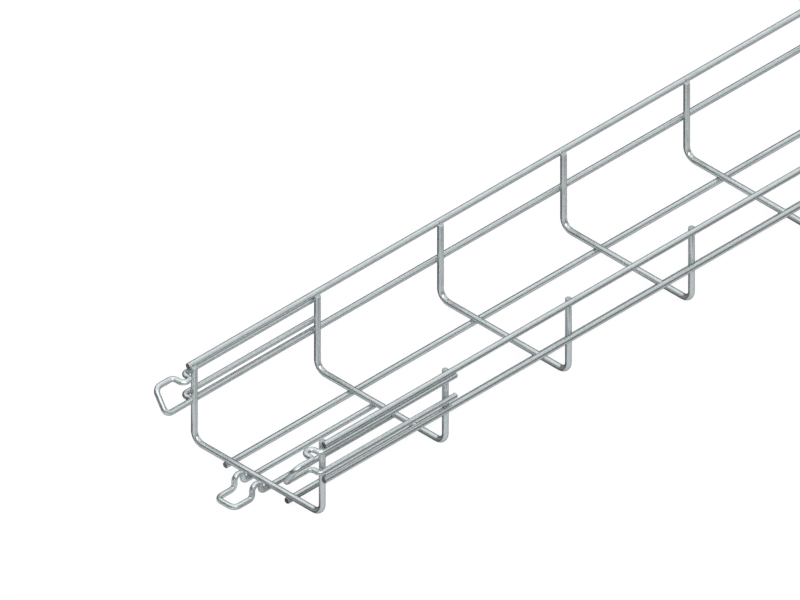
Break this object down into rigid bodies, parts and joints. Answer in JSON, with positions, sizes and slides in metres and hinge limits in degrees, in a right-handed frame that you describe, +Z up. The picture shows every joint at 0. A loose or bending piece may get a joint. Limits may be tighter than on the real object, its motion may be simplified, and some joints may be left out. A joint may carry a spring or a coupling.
{
  "type": "wire mesh cable basket",
  "caption": "Shallow U-shaped cable basket of welded round steel wire, with hairpin spring couplers on one end that snap onto the next length.",
  "frame": {"origin": "middle of the overall footprint, at floor level under the lowest wire", "axes": "+X along the basket away from the coupler end, +Y towards the left side wall as seen from the coupler end, +Z up"},
  "size_m": [3.0305, 0.1178, 0.06],
  "materials": {
    "mesh_wire": "zinc plated, satin",
    "spring_wire": "zinc plated, satin"
  },
  "bodies": {
    "root": {"cross_wire_01": "mesh_wire", "cross_wire_02": "mesh_wire", "cross_wire_03": "mesh_wire", "cross_wire_04": "mesh_wire", "cross_wire_05": "mesh_wire", "cross_wire_06": "mesh_wire", "cross_wire_07": "mesh_wire", "cross_wire_08": "mesh_wire", "cross_wire_09": "mesh_wire", "cross_wire_10": "mesh_wire", "cross_wire_11": "mesh_wire", "cross_wire_12": "mesh_wire", "cross_wire_13": "mesh_wire", "cross_wire_14": "mesh_wire", "cross_wire_15": "mesh_wire", "cross_wire_16": "mesh_wire", "cross_wire_17": "mesh_wire", "cross_wire_18": "mesh_wire", "cross_wire_19": "mesh_wire", "cross_wire_20": "mesh_wire", "cross_wire_21": "mesh_wire", "cross_wire_22": "mesh_wire", "cross_wire_23": "mesh_wire", "cross_wire_24": "mesh_wire", "cross_wire_25": "mesh_wire", "cross_wire_26": "mesh_wire", "cross_wire_27": "mesh_wire", "cross_wire_28": "mesh_wire", "cross_wire_29": "mesh_wire", "cross_wire_30": "mesh_wire", "cross_wire_31": "mesh_wire", "rim_wire_left": "mesh_wire", "rim_wire_right": "mesh_wire", "side_wire_left": "mesh_wire", "side_wire_right": "mesh_wire", "base_wire_left": "mesh_wire", "base_wire_right": "mesh_wire", "spring_coupler_base": "spring_wire", "spring_coupler_left": "spring_wire", "spring_coupler_right": "spring_wire"}
  },
  "joints": []
}
